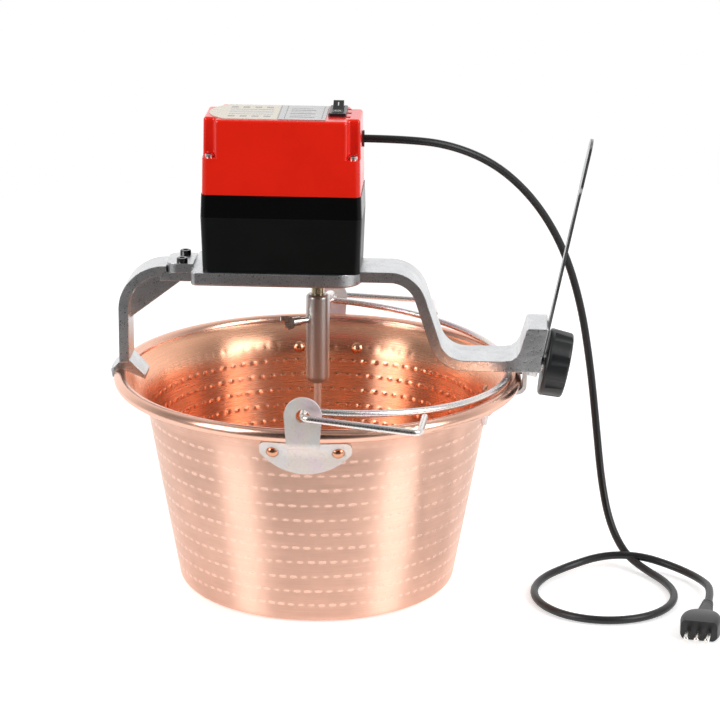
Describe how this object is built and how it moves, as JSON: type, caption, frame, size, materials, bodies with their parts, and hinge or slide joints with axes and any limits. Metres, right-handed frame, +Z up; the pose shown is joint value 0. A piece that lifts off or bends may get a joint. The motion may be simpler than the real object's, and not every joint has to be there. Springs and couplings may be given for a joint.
{
  "type": "electric polenta maker",
  "caption": "Electric polenta maker: hammered copper pot with riveted ears and bail, a motor housing on a cast arm clamped to the rim, a stirrer on its shaft, and a mains cord with plug.",
  "frame": {"origin": "centre of the pot's flat base, on the surface it stands on", "axes": "+X towards the ear that the mixer is clamped to, +Y to the back, +Z up along the stirrer shaft"},
  "size_m": [0.4631, 0.3478, 0.3717],
  "materials": {
    "hammered_copper": "polished hammered copper",
    "rivet_copper": "satin copper",
    "steel_wire": "drawn tinned wire",
    "forged_steel": "zinc-plated satin",
    "cast_aluminium": "as-cast and tumbled",
    "dark_screw": "black oxide",
    "zinc_screw": "zinc plated",
    "black_plastic": "satin black",
    "black_gloss": "gloss black",
    "black_bakelite": "satin black",
    "red_plastic": "gloss red",
    "label_foil": "silver and cream foil, bare",
    "black_rubber": "matt",
    "lamination": "blued sheet steel",
    "coil_wire": "enamelled copper",
    "pressed_steel": "plain",
    "ground_steel": "ground",
    "gear_plastic": "natural moulded plastic",
    "bronze": "sintered bronze and brass",
    "polished_steel": "polished stainless",
    "stay_steel": "plain strip",
    "pin_brass": "nickel plated"
  },
  "bodies": {
    "pot_and_frame": {"copper_pot": "hammered_copper", "rim_wire": "steel_wire", "front_ear": "forged_steel", "back_ear": "forged_steel", "clamp_ear": "forged_steel", "ear_rivets": "rivet_copper", "mixer_arm": "cast_aluminium", "left_foot": "cast_aluminium", "foot_screws": "dark_screw", "gearbox_housing": "black_plastic", "motor_carrier": "black_plastic", "top_cover": "red_plastic", "cover_screws": "zinc_screw", "housing_screws": "zinc_screw", "top_label": "label_foil", "switch_body": "black_plastic", "cable_gland": "black_rubber", "motor_stator": "lamination", "motor_coil": "coil_wire", "lower_bearing_bracket": "pressed_steel", "upper_bearing_bracket": "pressed_steel", "motor_screws": "zinc_screw", "first_gear_pin": "ground_steel", "second_gear_pin": "ground_steel", "output_bush": "bronze", "power_cord": "black_rubber", "plug_strain_relief": "black_rubber", "plug_body": "black_plastic", "plug_pins": "pin_brass"},
    "bail": {"bail_handle": "steel_wire"},
    "drive": {"drive_shaft": "bronze", "output_gear": "gear_plastic"},
    "stirrer": {"stirrer_sleeve": "polished_steel", "stirrer_rod": "polished_steel", "stirrer_blade": "polished_steel"},
    "sleeve_screw": {"thumb_screw": "zinc_screw"},
    "second_wheel": {"second_gear": "gear_plastic"},
    "first_wheel": {"first_gear": "gear_plastic"},
    "rotor": {"motor_rotor": "lamination", "motor_shaft": "ground_steel"},
    "rocker": {"switch_rocker": "black_gloss"},
    "stay": {"stay_bar": "stay_steel"},
    "washer": {"knob_washer": "zinc_screw"},
    "knob": {"clamp_knob": "black_bakelite", "clamp_stud": "zinc_screw"}
  },
  "joints": [
    {"name": "stirrer_spin", "type": "hinge", "parent": "pot_and_frame", "child": "drive", "pos_m": [0, 0, 0.23], "axis": [0, 0, 1], "continuous": true},
    {"name": "second_gear_spin", "type": "hinge", "parent": "pot_and_frame", "child": "second_wheel", "pos_m": [-0.02885, 0, 0.26], "axis": [0, 0, 1], "continuous": true},
    {"name": "first_gear_spin", "type": "hinge", "parent": "pot_and_frame", "child": "first_wheel", "pos_m": [-0.0577, 0, 0.27], "axis": [0, 0, 1], "continuous": true},
    {"name": "motor_spin", "type": "hinge", "parent": "pot_and_frame", "child": "rotor", "pos_m": [-0.02885, 0, 0.32], "axis": [0, 0, 1], "continuous": true},
    {"name": "stirrer_height", "type": "slide", "parent": "drive", "child": "stirrer", "axis": [0, 0, 1], "range_m": [0, 0.006]},
    {"name": "thumb_screw_turn", "type": "hinge", "parent": "stirrer", "child": "sleeve_screw", "pos_m": [0, 0, 0.2055], "axis": [-0.8387, -0.5446, 0], "range_deg": [-180, 180]},
    {"name": "switch_rock", "type": "hinge", "parent": "pot_and_frame", "child": "rocker", "pos_m": [0.0144, 0.005, 0.3616], "axis": [1, 0, 0], "range_deg": [-28, 0]},
    {"name": "bail_swing", "type": "hinge", "parent": "pot_and_frame", "child": "bail", "pos_m": [0, 0, 0.179], "axis": [0, -1, 0], "range_deg": [0, 0.6]},
    {"name": "stay_turn", "type": "hinge", "parent": "pot_and_frame", "child": "stay", "pos_m": [0.158, 0, 0.1785], "axis": [0.9816, 0, -0.1908], "range_deg": [-28, 90]},
    {"name": "knob_travel", "type": "slide", "parent": "pot_and_frame", "child": "washer", "axis": [0.9816, 0, -0.1908], "range_m": [0, 0.0045]},
    {"name": "knob_turn", "type": "hinge", "parent": "washer", "child": "knob", "pos_m": [0.158, 0, 0.1785], "axis": [0.9816, 0, -0.1908], "range_deg": [0, 1080]}
  ],
  "couplings": [
    {"joint": "second_gear_spin", "follows": "stirrer_spin", "ratio": -5},
    {"joint": "first_gear_spin", "follows": "stirrer_spin", "ratio": 25},
    {"joint": "motor_spin", "follows": "stirrer_spin", "ratio": -125},
    {"joint": "knob_turn", "follows": "knob_travel", "rad_per_m": 4188.8}
  ]
}
